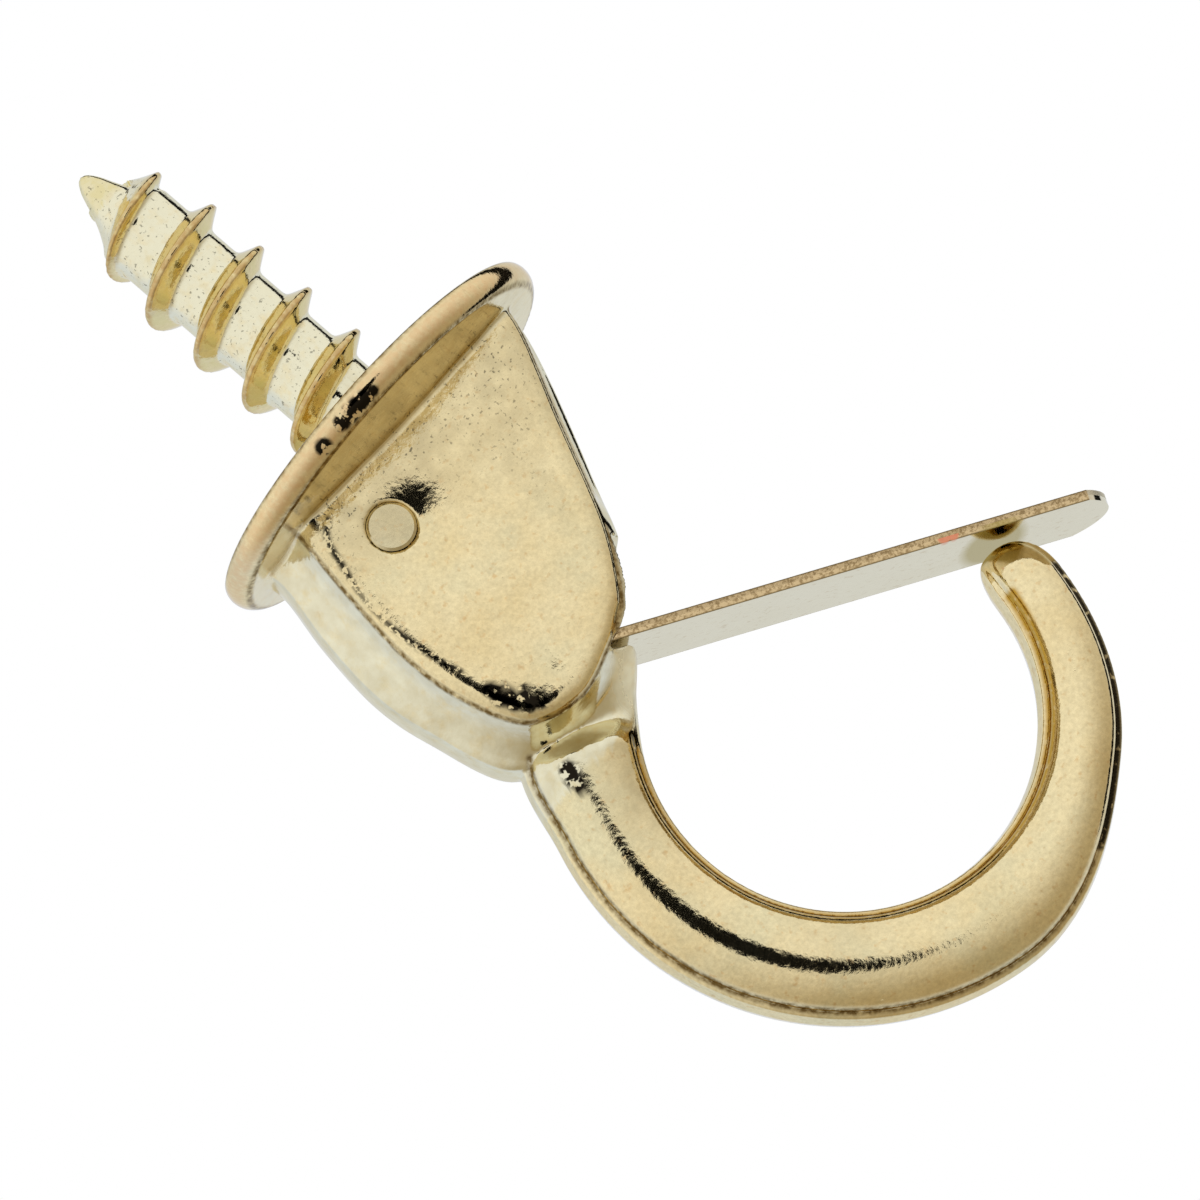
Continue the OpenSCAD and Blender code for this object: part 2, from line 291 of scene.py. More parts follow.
# colours are linear; a stain, or a mark of painted shade or painted reflection, is an attribute
# with the colour and strength it gives, and the scale and levels of the noise that breaks it up
brass = {
    "colour": (0.85, 0.72, 0.425),
    "patches": (0.80, 0.65, 0.355),
    "specks": (0.68, 0.46, 0.21),
    "bloom": (0.70, 0.66, 0.43),        # greenish grey clouds
    "stainsAndShade": {
        "pale": ((0.82, 0.79, 0.60), 0.9, 2000, (0.1, 0.5)),
        # painted reflection: the ochre that the thread takes from mirroring its own brass
        "thread": ((0.74, 0.64, 0.31), 0.75, 2000, (0.25, 0.6)),
        "dull": ((0.52, 0.44, 0.26), 0.75, 1500, (0.25, 0.65)),
        # painted shade: orange lines on the flange's rim, where it turns under
        "rimShade": ((0.76, 0.55, 0.30), 0.95, 3600, (0.2, 0.6)),
        # painted shade: a brown line along the thread's crests
        "crest": ((0.55, 0.36, 0.15), 0.9, 3600, (0.2, 0.6)),
        # painted shade: olive in the bar's inner ledge, where brass mirrors brass
        "ledge": ((0.47, 0.27, 0.035), 1.0, 2500, (0.1, 0.45)),
        # painted shade: dark brown along the creases of the face's edge, the rim and the bar's
        # outer side
        "edgeShade": ((0.16, 0.10, 0.03), 1.0, 3600, (0.2, 0.6)),
        # painted dark reflections: black specks on the face and the core
        "speckled": ((0.03, 0.025, 0.015), 0.9, 6500, (0.62, 0.68)),
        # painted dark reflections: dotted black lines inside the face's border and at the crown's
        # inner foot
        "dotted": ((0.03, 0.025, 0.015), 1.0, 4200, (0.44, 0.50)),
        # painted shade: a black line in the bar's outer crease
        "black": ((0.02, 0.016, 0.01), 1.0, 2600, (0.30, 0.42)),
        # painted dark reflections: black blots
        "darkReflection": ((0.015, 0.012, 0.008), 1.0, 3000, (0.40, 0.45)),
    },
    "tint": (0.95, 0.87, 0.70),         # towards a glancing view
    "satin": (0.25, 0.3),               # metallic and added roughness where left unpolished
    "roughness": (0.04, 0.10),
    "grain": 6000,
    "grainDepth": 0.0000048,
    "ripple": 1500,
    "rippleShare": 1.7,
    "mottle": 0.15,
}
rivetMetal = {
    **brass,
    "colour": (0.66, 0.57, 0.355),
    "patches": (0.60, 0.51, 0.30),
    "stainsAndShade": {},
    "satin": None,
    "roughness": (0.10, 0.18),
}
plate = {
    "colour": (0.83, 0.765, 0.60),
    "patches": (0.81, 0.74, 0.57),
    "specks": (0.62, 0.50, 0.34),
    "bloom": (0.83, 0.765, 0.60),
    "stainsAndShade": {},
    "tint": (0.92, 0.86, 0.70),
    "satin": None,
    "roughness": (0.06, 0.10),
    "topRoughness": 0.42,
    "grain": 6000,
    "grainDepth": 0.0000006,
    "ripple": 1500,
    "rippleShare": 1.0,
    "mottle": 0.04,
    "cut": ((0.66, 0.50, 0.28), (0.36, 0.25, 0.12)),    # bare metal of the cut edges
    "cutGrain": 9000,
    "cutLevels": (0.45, 0.62),
    "cutFrom": 0.00237,                 # to each side of the strip's middle
    "burr": (0.20, 0.14, 0.06),         # dark borders of the cut edges
    "burrFrom": (0.00014, 0.000182),    # up and down from the middle plane
    # the middle plane of the strip's long flat part: its way up and its height along that
    "middlePlane": ((0.515, 0, 0.857), -0.01069),
    # painted shadow where the hook's tip touches, and two red spots on the near edge: place, reach
    # and colour
    "contactShadowAndSpots": [((0.0122, 0.0, -0.0199), 0.0014, (0.40, 0.31, 0.09)),
              ((0.0104, -0.0024, -0.01872), 0.00028, (0.72, 0.26, 0.15)),
              ((0.0107, -0.0024, -0.0189), 0.00026, (0.72, 0.26, 0.15))],
    "markSquash": (1, 0.45, 1),
    "markEdge": 0.7,                    # share of the reach where a mark starts to fade
    "markStrength": 0.9,
}


# the strip's cut edges, and on its underside the painted shadow of the hook's tip and red spots;
# also tells which side is its top
def dressStrip(tree, place, noise, look, colour):
    aside = addNode(tree, "ShaderNodeSeparateXYZ", -1300, 1200, Vector=place).outputs["Y"]
    aside = mathNode(tree, -1150, 1200, "ABSOLUTE", aside)
    onCut = mathNode(tree, -1000, 1200, "GREATER_THAN", aside, look["cutFrom"])
    uneven = mapRange(tree, -800, 1400, noise(1400, look["cutGrain"], 2), *look["cutLevels"])
    bare = mixColours(tree, -500, 1200, *look["cut"], uneven)
    up, level = look["middlePlane"]
    over = vectorNode(tree, -1300, 1800, "DOT_PRODUCT", place, up, "Value")
    over = mathNode(tree, -1150, 1800, "SUBTRACT", over, level)
    onTop = mathNode(tree, -1000, 1800, "GREATER_THAN", over)
    fromMiddle = mathNode(tree, -1000, 2000, "ABSOLUTE", over)
    border = mapRange(tree, -800, 2000, fromMiddle, *look["burrFrom"])
    bare = mixColours(tree, -350, 1200, bare, look["burr"], border)
    colour = mixColours(tree, -200, 600, colour, bare, onCut)
    underneath = mathNode(tree, -800, 1800, "SUBTRACT", 1.0, onTop)
    squashed = vectorNode(tree, -1300, 2200, "MULTIPLY", place, look["markSquash"])
    # the first is painted shadow under the hook's tip, the others red spots
    for row, (spot, reach, tone) in enumerate(look["contactShadowAndSpots"]):
        y = 2200 + 200 * row
        middle = [a * b for a, b in zip(spot, look["markSquash"])]
        apart = vectorNode(tree, -1100, y, "DISTANCE", squashed, middle, "Value")
        amount = mapRange(tree, -900, y, apart, reach * look["markEdge"], reach,
                          look["markStrength"], 0.0)
        amount = mathNode(tree, -650, y, "MULTIPLY", amount, underneath)
        colour = mixColours(tree, -100, 700 + 200 * row, colour, tone, amount)
    return colour, onTop


def makeMetal(name, look):
    mat = newMaterial(name)
    tree = mat.node_tree
    place = addNode(tree, "ShaderNodeTexCoord", -1600, 0).outputs["Object"]

    def noise(y, scale, detail, roughness=0.6):
        return addNode(tree, "ShaderNodeTexNoise", -1300, y, Vector=place, Scale=scale,
                       Detail=detail, Roughness=roughness).outputs["Fac"]

    grain = noise(0, look["grain"], 3, 0.65)
    colour = look["colour"]
    for row, (tone, (scale, detail, rough, levels, strength)) in enumerate(toneSpread.items()):
        y = 300 + 150 * row
        amount = mapRange(tree, -1000, y, noise(y, scale, detail, rough), *levels, 0.0, strength)
        colour = mixColours(tree, -800 + 75 * row, y, colour, look[tone], amount)
    shade = mapRange(tree, -1000, 50, grain, *grainLevels, 1 - look["mottle"],
                     1 + look["mottle"] / 2)
    level = addNode(tree, "ShaderNodeCombineColor", -800, 50, Red=shade, Green=shade, Blue=shade)
    colour = mixColours(tree, -500, 400, colour, level.outputs[0], 1.0, "MULTIPLY")
    for row, (stainAndShade, (tone, strength, scale, levels)) in enumerate(look["stainsAndShade"].items()):
        y = 900 + 250 * row
        mark = addNode(tree, "ShaderNodeAttribute", -1500, y, attribute_name=stainAndShade)
        uneven = mapRange(tree, -1000, y, noise(y, scale, 2), *levels)
        amount = mathNode(tree, -800, y, "MULTIPLY", mark.outputs["Fac"], uneven)
        amount = mathNode(tree, -650, y, "MULTIPLY", amount, strength)
        colour = mixColours(tree, -350, y, colour, tone, amount)
    height = mathNode(tree, -1000, -350, "MULTIPLY", noise(-300, look["ripple"], 2),
                      look["rippleShare"])
    height = mathNode(tree, -850, -350, "ADD", height, grain)
    bump = addNode(tree, "ShaderNodeBump", -600, -350, Strength=1.0, Height=height,
                   Distance=look["grainDepth"])
    gloss = mapRange(tree, -600, -100, grain, *grainLevels, *look["roughness"])
    metallic = 1.0
    if "cut" in look:
        colour, onTop = dressStrip(tree, place, noise, look, colour)
        rough = mathNode(tree, -600, -200, "MULTIPLY", onTop, look["topRoughness"])
        gloss = mathNode(tree, -450, -100, "MAXIMUM", gloss, rough)
    if look["satin"]:
        least, rougher = look["satin"]
        satin = addNode(tree, "ShaderNodeAttribute", -600, 150, attribute_name="satin")
        metallic = mapRange(tree, -300, 150, satin.outputs["Fac"], 0.0, 1.0, 1.0, least)
        rough = mathNode(tree, -450, -200, "MULTIPLY", satin.outputs["Fac"], rougher)
        gloss = mathNode(tree, -300, -100, "ADD", gloss, rough)
    skin = addNode(tree, "ShaderNodeBsdfPrincipled", 200, 0, Base_Color=colour,
                   Metallic=metallic, Roughness=gloss, Normal=bump.outputs["Normal"],
                   Specular_Tint=(*look["tint"], 1))
    addNode(tree, "ShaderNodeOutputMaterial", 500, 0, Surface=skin.outputs[0])
    return mat


castBrass = makeMetal("castBrass", brass)
metals = {
    "hook_body": castBrass,
    "gate_rivet": makeMetal("rivetBrass", rivetMetal),
    "spring_gate": makeMetal("platedSteel", plate),
}
for name, mat in metals.items():
    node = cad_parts[name]
    node.data.materials.clear()
    node.data.materials.append(mat)
print("metals given")

# The casting is screw, flange, head and bar in one skin. From here all sizes are in millimetres.
# Lines of painted shade and painted dark reflections along creases, edges and crests, filled in as
# each form is made, and how far it reaches from them
paintedLines = {"rimShade": [], "crest": [], "ledge": [], "edgeShade": [], "black": [], "dotted": []}
paintedLineReach = {"rimShade": 0.4, "crest": 0.24, "ledge": 0.24, "edgeShade": 0.2, "black": 0.28,
              "dotted": 0.2}


# adds a point to one of the lines of painted shade and painted dark reflections
def shadeAndStains(stainAndShade, place):
    paintedLines[stainAndShade].append(Vector(place))


# smooth step from 0 at a to 1 at b
def ease(a, b, t):
    s = min(1, max(0, (t - a) / (b - a)))
    return s * s * (3 - 2 * s)


# Catmull-Rom through the points, of any dimension
def smoothRun(points, steps):
    p = [Vector(q) for q in points]
    q = [2 * p[0] - p[1], *p, 2 * p[-1] - p[-2]]
    run = []
    for i in range(len(p) - 1):
        a, b, c, d = q[i:i + 4]
        for k in range(steps):
            t = k / steps
            run.append(0.5 * (2 * b + (c - a) * t + (2 * a - 5 * b + 4 * c - d) * t * t
                              + (3 * b - a - 3 * c + d) * t ** 3))
    return run + [p[-1]]


def meshObject(name, bm):
    bmesh.ops.recalc_face_normals(bm, faces=bm.faces)
    mesh = bpy.data.meshes.new(name)
    bm.to_mesh(mesh)
    bm.free()
    return newObject(name, mesh)


# rings of points joined one after another, closed by a point at each end
def loft(name, rings, first, last):
    count = len(rings[0])
    bm = bmesh.new()
    verts = [[bm.verts.new(p) for p in ring] for ring in rings]
    ends = [bm.verts.new(first), bm.verts.new(last)]
    for r in range(len(rings) - 1):
        for i in range(count):
            j = (i + 1) % count
            bm.faces.new((verts[r][i], verts[r][j], verts[r + 1][j], verts[r + 1][i]))
    for i in range(count):
        j = (i + 1) % count
        bm.faces.new((ends[0], verts[0][j], verts[0][i]))
        bm.faces.new((ends[1], verts[-1][i], verts[-1][j]))
    return meshObject(name, bm)


# an outline of (x, z) points drawn out along Y, to both sides of the middle
def prism(name, outline, width):
    bm = bmesh.new()
    near = [bm.verts.new((x, -width / 2, z)) for x, z in outline]
    far = [bm.verts.new((x, width / 2, z)) for x, z in outline]
    bm.faces.new(near)
    bm.faces.new(list(reversed(far)))
    for i in range(len(outline)):
        j = (i + 1) % len(outline)
        bm.faces.new((near[j], near[i], far[i], far[j]))
    return meshObject(name, bm)


def circle(centre, radius, sides=96):
    turns = [2 * math.pi * i / sides for i in range(sides)]
    return [(centre[0] + radius * math.cos(t), centre[1] + radius * math.sin(t)) for t in turns]


# a profile of (radius, height) turned about Z, from one end of the axis to the other
def lathe(name, profile, sides=160):
    rings = [[(x, y, z) for x, y in circle((0, 0), r, sides)] for r, z in profile if r > 0]
    return loft(name, rings, (0, 0, profile[0][1]), (0, 0, profile[-1][1]))


# the object's modifiers made part of its mesh
def applied(obj):
    graph = bpy.context.evaluated_depsgraph_get()
    mesh = bpy.data.meshes.new_from_object(obj.evaluated_get(graph))
    obj.modifiers.clear()
    obj.data = mesh
    return obj


screw = {
    "length": 14.7,
    "rootLength": 0.6,          # how far the core reaches into the flange
    "pointLength": 2.8,
    # the point's outline: shares of the core's radius and of the point's length
    "point": [(1, 0), (0.82, 0.12), (0.60, 0.34), (0.44, 0.56), (0.29, 0.80), (0.14, 0.95), (0, 1)],
    "coreRadius": 1.7,
    "coreSteps": 40,
    "threadRadius": 2.5,
    "pitch": 2.42,
    "ridgeStart": 0.49,
    "ridgeLead": 60,            # degrees of the ridge before it crosses +X
    "ridgeEnd": 1.1,            # from the point's end
    "rootDepth": 0.3,           # how far the ridge's foot lies inside the core
    "rootShare": 0.29,          # half widths of the ridge, as shares of the pitch
    "crestShare": 0.04,
    "growth": (0.15, 0.75),     # heights over the seat between which the ridge grows
    # heights from where the point starts, between which each of these changes
    "coreTaper": (-0.4, 2.4),
    "crestTaper": (-1.6, -0.2),
    "runOut": (0.9, 1.9),
    "coreLeft": 0.38,           # share of the core's radius left at the taper's end
    "crestLoss": 0.45,
    # the crest's line of painted shade: least height over the seat, most over the point's start,
    # and points
    "crestLine": (0.3, 1.4, 2400),
}


def makeCore(s):
    top, root = s["length"] - s["pointLength"], s["rootLength"]
    tip = smoothRun([(s["coreRadius"] * r, top + s["pointLength"] * h) for r, h in s["point"]], 4)
    shank = [(s["coreRadius"], -root + (top + root) * i / s["coreSteps"])
             for i in range(s["coreSteps"])]
    return lathe("core", [(0, -root), *shank, *((p.x, p.y) for p in tip)])


# sizes of the thread's node group, by the names of its inputs
def threadSizes(s):
    lead = s["ridgeLead"] / 360
    sizes = {
        "Turns": (s["length"] - s["ridgeEnd"] - s["ridgeStart"]) / s["pitch"] + lead,
        "Pitch": s["pitch"],
        "Lead Turns": lead,
        "Start Height": s["ridgeStart"],
        "Core Radius": s["coreRadius"],
        "Crest Radius": s["threadRadius"],
        "Root Depth": s["rootDepth"],
        "Root Half Width": s["pitch"] * s["rootShare"],
        "Crest Half Width": s["pitch"] * s["crestShare"],
        "Taper Height": s["length"] - s["pointLength"],
        "Core Left": s["coreLeft"],
        "Crest Loss": s["crestLoss"],
    }
    for name, key in (("Growth", "growth"), ("Core Taper", "coreTaper"),
                      ("Crest Taper", "crestTaper"), ("Run Out", "runOut")):
        sizes[name + " From"], sizes[name + " To"] = s[key]
    return sizes


# Geometry Nodes: a helix that carries a ridge, which runs out at both ends
def threadTree(sizes):
    tree = bpy.data.node_groups.new("woodThread", "GeometryNodeTree")
    for name in sizes:
        tree.interface.new_socket(name, in_out="INPUT", socket_type="NodeSocketFloat")
    tree.interface.new_socket("Metal", in_out="INPUT", socket_type="NodeSocketMaterial")
    tree.interface.new_socket("Thread", in_out="OUTPUT", socket_type="NodeSocketGeometry")
    given = addNode(tree, "NodeGroupInput", -1800, 0).outputs

    def do(operation, first, second=0.0):
        return mathNode(tree, -1000, -60 * len(tree.nodes), operation, first, second)

    # a value that changes smoothly between the two heights that the input's name has
    def change(name, y, height, first, last):
        return mapRange(tree, -700, y, height, given[name + " From"], given[name + " To"],
                        first, last, "SMOOTHSTEP")

    height = do("MULTIPLY", given["Turns"], given["Pitch"])
    helix = addNode(tree, "GeometryNodeCurveSpiral", -1400, 300, Resolution=72, Reverse=True,
                    Rotations=given["Turns"], Start_Radius=1.0, End_Radius=1.0, Height=height)
    # heights over the seat, and the core's and the crest's radius there
    place = addNode(tree, "GeometryNodeInputPosition", -1400, -300)
    split = addNode(tree, "ShaderNodeSeparateXYZ", -1200, -300, Vector=place.outputs[0])
    under = do("MULTIPLY", given["Lead Turns"], given["Pitch"])
    low = do("SUBTRACT", given["Start Height"], under)
    level = do("ADD", split.outputs["Z"], low)
    past = do("SUBTRACT", level, given["Taper Height"])
    slim = change("Core Taper", -300, past, 1.0, given["Core Left"])
    core = do("MULTIPLY", given["Core Radius"], slim)
    foot = do("SUBTRACT", core, given["Root Depth"])
    less = change("Crest Taper", -500, past, 0.0, given["Crest Loss"])
    crest = do("SUBTRACT", given["Crest Radius"], less)
    grown = change("Growth", -700, level, 0.0, 1.0)
    left = change("Run Out", -900, past, 1.0, 0.0)
    share = do("MULTIPLY", grown, left)
    stand = do("MULTIPLY", do("SUBTRACT", crest, core), share)
    tall = do("ADD", stand, given["Root Depth"])
    fullTall = do("ADD", do("SUBTRACT", given["Crest Radius"], given["Core Radius"]),
                  given["Root Depth"])
    # the helix, moved out to the core's foot and turned to where the ridge starts
    flat = addNode(tree, "ShaderNodeCombineXYZ", -500, 0, Z=level,
                   X=do("MULTIPLY", split.outputs["X"], foot),
                   Y=do("MULTIPLY", split.outputs["Y"], foot))
    path = addNode(tree, "GeometryNodeSetPosition", -300, 300, Geometry=helix.outputs[0],
                   Position=flat.outputs[0])
    upright = addNode(tree, "GeometryNodeSetCurveNormal", -100, 300, mode="Z_UP",
                      Curve=path.outputs[0])
    # the ridge's section, with its crest out at +X
    section = addNode(tree, "GeometryNodeCurvePrimitiveQuadrilateral", -100, 0, mode="POINTS")
    root, top = given["Root Half Width"], given["Crest Half Width"]
    corners = [(0.0, root, -1.0), (fullTall, top, -1.0), (fullTall, top, 1.0), (0.0, root, 1.0)]
    for i, (x, half, side) in enumerate(corners):
        corner = addNode(tree, "ShaderNodeCombineXYZ", -300, -200 - 100 * i, X=x,
                         Y=do("MULTIPLY", half, side))
        tree.links.new(corner.outputs[0], section.inputs["Point " + str(i + 1)])
    ridge = addNode(tree, "GeometryNodeCurveToMesh", 100, 200, Curve=upright.outputs[0],
                    Profile_Curve=section.outputs[0], Scale=do("DIVIDE", tall, fullTall),
                    Fill_Caps=True)
    angle = do("MULTIPLY", given["Lead Turns"], -2 * math.pi)
    turn = addNode(tree, "ShaderNodeCombineXYZ", 100, -100, Z=angle)
    turned = addNode(tree, "GeometryNodeTransform", 300, 200, Geometry=ridge.outputs[0],
                     Rotation=turn.outputs[0])
    real = addNode(tree, "GeometryNodeRealizeInstances", 500, 200, Geometry=turned.outputs[0])
    dressed = addNode(tree, "GeometryNodeSetMaterial", 700, 200, Geometry=real.outputs[0],
                      Material=given["Metal"])
    addNode(tree, "NodeGroupOutput", 900, 200, Thread=dressed.outputs[0])
    return tree


def makeThread(s, metal):
    sizes = threadSizes(s)
    ridge = newObject("thread", bpy.data.meshes.new("thread"))
    nodes = ridge.modifiers.new("thread", "NODES")
    nodes.node_group = threadTree(sizes)
    values = {**sizes, "Metal": metal}
    for socket in nodes.node_group.interface.items_tree:
        if socket.in_out == "INPUT":
            nodes[socket.identifier] = values[socket.name]
    lowest, highest, steps = s["crestLine"]
    for i in range(steps):
        turn = 2 * math.pi * (sizes["Turns"] * i / steps - sizes["Lead Turns"])
        z = s["ridgeStart"] + s["pitch"] * turn / (2 * math.pi)
        past = z - sizes["Taper Height"]
        if z >= lowest and past <= highest:
            r = s["threadRadius"] - s["crestLoss"] * ease(*s["crestTaper"], past)
            shadeAndStains("crest", (r * math.cos(turn), r * math.sin(turn), z))
    return applied(ridge)


flange = {
    "radius": 8.2,
    "sides": 240,
    "rim": 1.15,
    # from the seat's edge round to the underside: inset, and drop as a share of the rim
    "rimProfile": [(0.32, 0), (0.15, 0.03), (0.055, 0.12), (0.01, 0.26), (0, 0.40), (0.02, 0.50),
                   (0.06, 0.62), (0.13, 0.73), (0.25, 0.85), (0.40, 0.94)],
    "underProfile": [(0.62, 0.95), (2.4, 1.02), (5.2, 1.12)],
    "reliefRadius": 2.9,
    "reliefDepth": 0.25,
    # painted shade round the rim: which, share of the radius, and drop as a share of the rim
    "lines": [("rimShade", 1, 0.4), ("rimShade", 1, 0.62), ("edgeShade", 0.955, 0.94), ("edgeShade", 0.982, 0.03)],
    "linePoints": 900,
}


def makeFlange(f):
    radius, rim = f["radius"], f["rim"]
    upper = smoothRun([(radius - d, -rim * h) for d, h in f["rimProfile"]], 3)
    under = [(radius - d, -rim * h) for d, h in f["underProfile"]]
    for x, y in circle((0, 0), radius, f["linePoints"]):
        for stainAndShade, out, drop in f["lines"]:
            shadeAndStains(stainAndShade, (x * out, y * out, -rim * drop))
    return lathe("flange", [(0, -f["reliefDepth"]), (f["reliefRadius"], -f["reliefDepth"]),
                            (f["reliefRadius"], 0), *((p.x, p.y) for p in upper), *under,
                            (0, under[-1][1])], f["sides"])


head = {
    "halfWidth": 7.0,
    "height": 12.9,
    "halfThickness": 3.1,
    "steps": 12,
    # edge of the raised face and foot of the flanks, as shares of the half width and height
    "faceEdge": [(-0.757, 0.05), (-0.786, 0.147), (-0.843, 0.341), (-0.886, 0.558),
                 (-0.857, 0.756), (-0.721, 0.942), (-0.429, 1.004), (-0.136, 0.965),
                 (0.014, 0.926), (0.136, 0.876), (0.357, 0.709), (0.614, 0.419),
                 (0.836, 0.174), (0.90, 0.05)],
    "flankFoot": [(-1, 0.05), (-0.986, 0.151), (-1.057, 0.333), (-1.10, 0.55),
                  (-1.057, 0.736), (-0.921, 0.984), (-0.557, 1.045), (-0.186, 1.085),
                  (0.06, 0.977), (0.194, 0.904), (0.436, 0.70), (0.707, 0.411),
                  (0.886, 0.186), (0.95, 0.05)],
    # depth as a share of the half thickness, and how far the flank or the border has come in
    "flankProfile": [(0, 0), (0.3, 0.05), (0.37, 0.30), (0.48, 0.58), (0.65, 0.82),
                     (0.80, 0.96), (0.85, 1)],
    "borderProfile": [(0.86, 0.06), (0.93, 0.16), (0.972, 0.32), (0.989, 0.49), (0.998, 0.68),
                      (1, 0.90)],
    # round the gate's way out the flank stands almost straight: where along the edge's points
    # that begins and ends, and how steep it is
    "collar": ((7.2, 8.1), (9.2, 10.4), 20),
    "middle": -0.1,             # of the face, as a share of the half width
    # depth of the painted shade along the face's edge, as a share of the half thickness
    "edgeShadeDepth": 0.86,
    # line of black specks inside the near face's left border, a painted dark reflection
    "darkSpecks": [(-4.3, -1.75), (-4.9, -2.3), (-5.284, -3.483), (-5.65, -4.6), (-5.77, -5.626),
             (-5.72, -6.6), (-5.637, -7.445), (-5.5, -8.4), (-5.337, -9.11)],
}


def makeHead(h):
    def placed(shape):
        return smoothRun([(x * h["halfWidth"], -y * h["height"]) for x, y in shape], h["steps"])

    edge, foot = placed(h["faceEdge"]), placed(h["flankFoot"])
    count = len(edge)

    def collar(i):
        begin, end, steep = h["collar"]
        t = i / (count - 1) * (len(h["faceEdge"]) - 1)
        return 1 + steep * ease(*begin, t) * (1 - ease(*end, t))

    def inset(d):
        run = []
        for i in range(count):
            t = (edge[min(i + 1, count - 1)] - edge[max(i - 1, 0)]).normalized()
            run.append(edge[i] + d * Vector((-t.y, t.x)))
        return run

    half = []
    for depth, come in smoothRun(h["flankProfile"], 3):
        share = [min(1, max(0, come)) ** collar(i) for i in range(count)]
        half.append((depth, [foot[i] * (1 - share[i]) + edge[i] * share[i] for i in range(count)]))
    for depth, d in smoothRun(h["borderProfile"], 3):
        half.append((depth, inset(d)))
    levels = [(-d, run) for d, run in reversed(half[1:])] + half
    t = h["halfThickness"]
    # painted shade along the face's edge, on both sides
    for p in smoothRun(edge, 3):
        for side in (-1, 1):
            shadeAndStains("edgeShade", (p.x, side * h["edgeShadeDepth"] * t, p.y))
    # painted dark reflection: a dotted black line
    for p in smoothRun(h["darkSpecks"], 80):
        shadeAndStains("dotted", (p.x, -t, p.y))
    rings = [[(p.x, d * t, p.y) for p in run] for d, run in levels]
    middle = (h["middle"] * h["halfWidth"], -h["height"] / 2)
    return loft("head", rings, (middle[0], -t, middle[1]), (middle[0], t, middle[1]))


bar = {
    "ringRadius": 7.3,          # inside of the hook
    "ringAside": 0.449,         # its middle's way from the screw's axis, a share of the radius
    "ringLift": 0.13,           # how far the ring reaches up into the head
    "width": 4.15,
    "tipWidth": 2.75,
    "half": 2.0,                # half the thickness
    "land": 0.8,                # half height of the flat sides
    "draft": 0.1,
    "ledge": 0.34,              # from the flat sides in to where the crown rises
    "ledgeLift": 0.04,
    # all that follows is in degrees round the ring, from +X by way of +Z
    "start": 117,
    "end": 359.4,
    "step": 1.5,
    "narrowing": [(0.72, 258, 304), (0.28, 300, 350)],      # share, from and to
    "neckExtra": (0.45, 142, 158),          # width added at the neck, and where it fades out
    "neckFlare": (0.3, 136, 18, 1.5),       # inner side: depth, where it ends, span and power
    "crownStart": (130.5, 9, 6.5),          # where it rises, over how much, and its slant
    "crownRound": 0.85,
    "crownSteps": 28,
    "crownDrops": [(0.15, 255, 340), (0.25, 325, 360)],     # how much lower, from and to
    "domeLength": 1.9,
    "domeSteps": 18,
    "domeSweep": 88,
    "domeRound": 0.8,
    "domeShift": 0.35,          # how far the dome draws in towards the inner side
    # painted shade and painted dark reflections at the crown's feet: which, on the inner side or
    # not, out and up, from and to
    "lines": [("ledge", True, 0, 0.12, 0, 360), ("ledge", True, 0.05, 0.3, 0, 360),
              ("ledge", True, 0.14, 0.5, 0, 360), ("edgeShade", False, 0, 0.1, 0, 360),
              ("edgeShade", False, -0.05, 0.3, 0, 360), ("dotted", True, 0.06, 0.3, 0, 200),
              ("black", False, 0.06, 0.05, 284, 360)],
    "linesFrom": 139,
    "linePoints": 1400,
}


